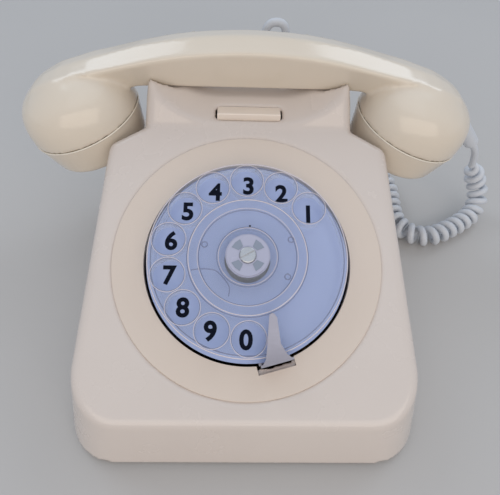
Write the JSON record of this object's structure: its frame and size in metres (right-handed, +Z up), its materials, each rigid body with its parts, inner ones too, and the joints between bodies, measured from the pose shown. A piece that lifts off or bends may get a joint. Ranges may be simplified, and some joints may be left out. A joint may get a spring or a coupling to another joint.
{
  "type": "rotary telephone",
  "caption": "Desk telephone with a sloping moulded case, rotary dial behind a clear finger wheel, handset on a cradle, curly handset cord and coiled line cord.",
  "frame": {"origin": "on the table under the middle of the case and handset", "axes": "+X to the right as the dial is faced, along the handset; +Y towards the back of the case; +Z up"},
  "size_m": [0.2948, 0.3387, 0.1308],
  "materials": {
    "ivory": "glossy",
    "ivory_handset": "glossy",
    "ivory_bezel": "satin",
    "clear": "polished",
    "plate_print": "satin",
    "steel": "satin",
    "zinc": "satin",
    "chrome": "polished",
    "brass": "satin",
    "gong": "satin",
    "copper": "enamelled",
    "rubber": "matt",
    "dark_plastic": "matt",
    "grey_plastic": "matt",
    "board": "laminate",
    "white_gear": "moulded",
    "cord": "satin",
    "clear_plug": "polished"
  },
  "bodies": {
    "case": {"case_shell": "ivory", "dial_bezel": "ivory_bezel", "base_plate": "zinc", "rubber_feet": "rubber", "case_screws": "steel", "number_plate": "plate_print", "finger_stop": "steel", "dial_chassis": "zinc", "dial_fixing_screws": "steel", "main_spring": "steel", "governor_cup": "zinc", "impulse_contacts": "brass", "circuit_board": "board", "board_standoffs": "steel", "terminal_block": "dark_plastic", "induction_coil": "copper", "capacitor": "grey_plastic", "bell_frame": "zinc", "bell_gong_left": "gong", "bell_gong_right": "gong", "gong_screws": "steel", "bell_coil": "copper", "hook_switch_frame": "dark_plastic", "hook_switch_contacts": "brass", "plunger_spring": "steel", "handset_cord_grommet": "cord", "line_cord_grommet": "cord", "handset_cord_top": "cord", "handset_cord_curl": "cord", "handset_cord_base": "cord", "line_cord": "cord", "line_cord_coil": "cord", "line_cord_end": "cord", "line_plug": "clear_plug", "line_plug_contacts": "brass", "line_plug_latch": "clear_plug"},
    "wheel": {"finger_wheel": "clear", "hub_clamp": "plate_print", "dial_centre_screw": "steel", "dial_spindle": "steel", "main_gear": "brass"},
    "pulse": {"pulse_pinion": "brass", "impulse_cam": "white_gear"},
    "governor": {"governor_rotor": "brass"},
    "clapper": {"bell_clapper": "brass"},
    "handset": {"handset_shell": "ivory_handset", "earpiece_cap": "ivory_handset", "mouthpiece_cap": "ivory_handset", "receiver_capsule": "dark_plastic", "transmitter_capsule": "dark_plastic", "capsule_contacts": "brass", "handset_cord_boot": "cord"},
    "plunger": {"plunger_bar": "clear"},
    "hook_lever": {"hook_switch_lever": "steel"}
  },
  "joints": [
    {"name": "dial_turn", "type": "hinge", "parent": "case", "child": "wheel", "pos_m": [0, -0.02334, 0.06469], "axis": [0, 0.4003, -0.9164], "range_deg": [0, 329], "stiffness_Nm_per_rad": 0.02},
    {"name": "pulse_turn", "type": "hinge", "parent": "case", "child": "pulse", "pos_m": [-0.02091, -0.01227, 0.06952], "axis": [0, 0.4003, -0.9164], "range_deg": [-1320, 1]},
    {"name": "governor_turn", "type": "hinge", "parent": "case", "child": "governor", "pos_m": [0.02022, -0.01264, 0.06936], "axis": [0, 0.4003, -0.9164], "range_deg": [-1585, 1]},
    {"name": "clapper_swing", "type": "hinge", "parent": "case", "child": "clapper", "pos_m": [0, 0.022, 0.019], "axis": [0, 0, 1], "range_deg": [-3, 3], "stiffness_Nm_per_rad": 0.01},
    {"name": "handset_lift", "type": "slide", "parent": "case", "child": "handset", "axis": [0, 0, 1], "range_m": [0, 0.12]},
    {"name": "plunger_rise", "type": "slide", "parent": "case", "child": "plunger", "axis": [0, 0, 1], "range_m": [0, 0.0051], "deforming": ["plunger_spring"]},
    {"name": "hook_lever_turn", "type": "hinge", "parent": "case", "child": "hook_lever", "pos_m": [0.0142, 0.061, 0.0805], "axis": [-1, 0, 0], "range_deg": [0, 8.2]}
  ],
  "couplings": [
    {"joint": "pulse_turn", "follows": "dial_turn", "ratio": -4},
    {"joint": "governor_turn", "follows": "dial_turn", "ratio": -4.8},
    {"joint": "plunger_rise", "follows": "handset_lift", "ratio": 0.041667},
    {"joint": "hook_lever_turn", "follows": "handset_lift", "rad_per_m": 1.1636}
  ]
}
